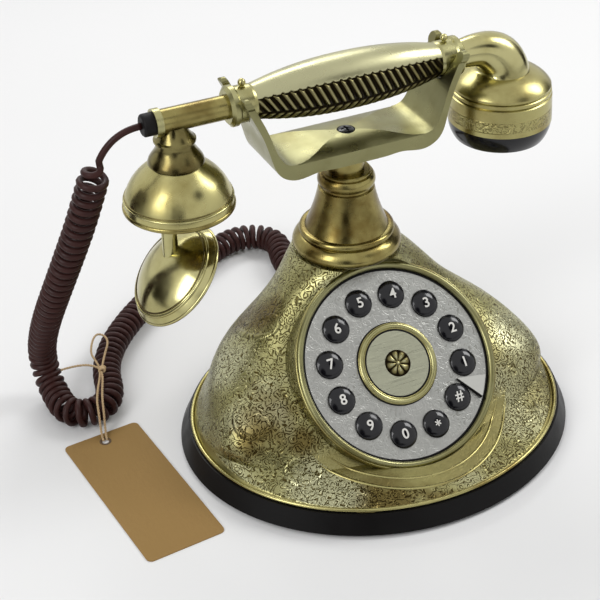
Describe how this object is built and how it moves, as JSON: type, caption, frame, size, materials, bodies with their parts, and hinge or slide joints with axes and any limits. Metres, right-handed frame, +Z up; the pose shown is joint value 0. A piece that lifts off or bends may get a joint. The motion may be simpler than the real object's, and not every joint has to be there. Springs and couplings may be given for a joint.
{
  "type": "french-style cradle phone",
  "caption": "Vintage French-style cradle phone: engraved brass body, push-key dial, brass handset on a sprung cradle, curly cord and card tag.",
  "frame": {"origin": "middle of the oval base, on the table", "axes": "+Z up, -Y the front with the dial, +X towards the earpiece"},
  "size_m": [0.2857, 0.3013, 0.207],
  "materials": {
    "antique_brass": "antiqued, engraved",
    "polished_brass": "polished",
    "black_plastic": "satin",
    "gloss_black": "gloss",
    "steel": "plain",
    "rubber": "matte",
    "pewter": "antiqued, engraved",
    "medallion_gold": "satin",
    "cord_brown": "satin",
    "kraft_card": "card",
    "twine": "twisted",
    "circuit_board": "matte"
  },
  "bodies": {
    "cradle": {"plunger_stem": "polished_brass", "cradle": "antique_brass", "cradle_screw": "gloss_black"},
    "handset": {"handset_tube": "antique_brass", "cord_grommet": "rubber", "tube_ring": "pewter", "left_ferrule": "polished_brass", "right_ferrule": "polished_brass", "ferrule_screws": "polished_brass", "grip": "antique_brass", "ear_elbow": "polished_brass", "ear_bell": "antique_brass", "ear_cover": "gloss_black", "ear_speaker": "black_plastic", "mic_neck": "antique_brass", "mic_bell": "polished_brass", "mic_plate": "antique_brass", "mouthpiece": "polished_brass", "mic_capsule": "black_plastic"},
    "lever": {"hook_lever": "steel"},
    "key_1_body": {"key_1": "gloss_black"},
    "key_2_body": {"key_2": "gloss_black"},
    "key_3_body": {"key_3": "gloss_black"},
    "key_4_body": {"key_4": "gloss_black"},
    "key_5_body": {"key_5": "gloss_black"},
    "key_6_body": {"key_6": "gloss_black"},
    "key_7_body": {"key_7": "gloss_black"},
    "key_8_body": {"key_8": "gloss_black"},
    "key_9_body": {"key_9": "gloss_black"},
    "key_0_body": {"key_0": "gloss_black"},
    "key_star_body": {"key_star": "gloss_black"},
    "key_hash_body": {"key_hash": "gloss_black"},
    "base": {"base_plate": "black_plastic", "rubber_feet": "rubber", "base_screws": "steel", "ballast_weight": "steel", "line_socket": "black_plastic", "main_board": "circuit_board", "ringer": "black_plastic", "body_shell": "antique_brass", "neck_collar": "polished_brass", "neck_cone": "antique_brass", "plunger_bush": "polished_brass", "neck_nut": "steel", "plunger_bracket": "steel", "plunger_spring": "steel", "hook_switch": "black_plastic", "handset_cord": "cord_brown", "cord_relief": "rubber", "hang_tag": "kraft_card", "tag_twine": "twine", "dial_plate": "pewter", "dial_bezel": "polished_brass", "medallion_ring": "medallion_gold", "medallion_disc": "medallion_gold", "finger_stop": "pewter", "key_membrane": "rubber", "keypad_board": "circuit_board", "keypad_screws": "steel"}
  },
  "joints": [
    {"name": "cradle_slide", "type": "slide", "parent": "base", "child": "cradle", "axis": [0, 0, 1], "range_m": [0, 0.005], "stiffness_N_per_m": 300, "springref_m": 0.0267, "deforming": ["plunger_spring"]},
    {"name": "handset_lift", "type": "slide", "parent": "base", "child": "handset", "axis": [0, 0, 1], "range_m": [0, 0.08], "deforming": ["handset_cord"]},
    {"name": "lever_hinge", "type": "hinge", "parent": "base", "child": "lever", "pos_m": [0.021, 0.0335, 0.0387], "axis": [0, 1, 0], "range_deg": [0, 12.5]},
    {"name": "key_1_press", "type": "slide", "parent": "base", "child": "key_1_body", "axis": [0, 0.7071, -0.7071], "range_m": [0, 0.0015], "stiffness_N_per_m": 400, "springref_m": -0.0005},
    {"name": "key_2_press", "type": "slide", "parent": "base", "child": "key_2_body", "axis": [0, 0.7071, -0.7071], "range_m": [0, 0.0015], "stiffness_N_per_m": 400, "springref_m": -0.0005},
    {"name": "key_3_press", "type": "slide", "parent": "base", "child": "key_3_body", "axis": [0, 0.7071, -0.7071], "range_m": [0, 0.0015], "stiffness_N_per_m": 400, "springref_m": -0.0005},
    {"name": "key_4_press", "type": "slide", "parent": "base", "child": "key_4_body", "axis": [0, 0.7071, -0.7071], "range_m": [0, 0.0015], "stiffness_N_per_m": 400, "springref_m": -0.0005},
    {"name": "key_5_press", "type": "slide", "parent": "base", "child": "key_5_body", "axis": [0, 0.7071, -0.7071], "range_m": [0, 0.0015], "stiffness_N_per_m": 400, "springref_m": -0.0005},
    {"name": "key_6_press", "type": "slide", "parent": "base", "child": "key_6_body", "axis": [0, 0.7071, -0.7071], "range_m": [0, 0.0015], "stiffness_N_per_m": 400, "springref_m": -0.0005},
    {"name": "key_7_press", "type": "slide", "parent": "base", "child": "key_7_body", "axis": [0, 0.7071, -0.7071], "range_m": [0, 0.0015], "stiffness_N_per_m": 400, "springref_m": -0.0005},
    {"name": "key_8_press", "type": "slide", "parent": "base", "child": "key_8_body", "axis": [0, 0.7071, -0.7071], "range_m": [0, 0.0015], "stiffness_N_per_m": 400, "springref_m": -0.0005},
    {"name": "key_9_press", "type": "slide", "parent": "base", "child": "key_9_body", "axis": [0, 0.7071, -0.7071], "range_m": [0, 0.0015], "stiffness_N_per_m": 400, "springref_m": -0.0005},
    {"name": "key_0_press", "type": "slide", "parent": "base", "child": "key_0_body", "axis": [0, 0.7071, -0.7071], "range_m": [0, 0.0015], "stiffness_N_per_m": 400, "springref_m": -0.0005},
    {"name": "key_star_press", "type": "slide", "parent": "base", "child": "key_star_body", "axis": [0, 0.7071, -0.7071], "range_m": [0, 0.0015], "stiffness_N_per_m": 400, "springref_m": -0.0005},
    {"name": "key_hash_press", "type": "slide", "parent": "base", "child": "key_hash_body", "axis": [0, 0.7071, -0.7071], "range_m": [0, 0.0015], "stiffness_N_per_m": 400, "springref_m": -0.0005}
  ],
  "couplings": [
    {"joint": "cradle_slide", "follows": "handset_lift", "ratio": 0.0625},
    {"joint": "lever_hinge", "follows": "handset_lift", "rad_per_m": 2.5625}
  ]
}
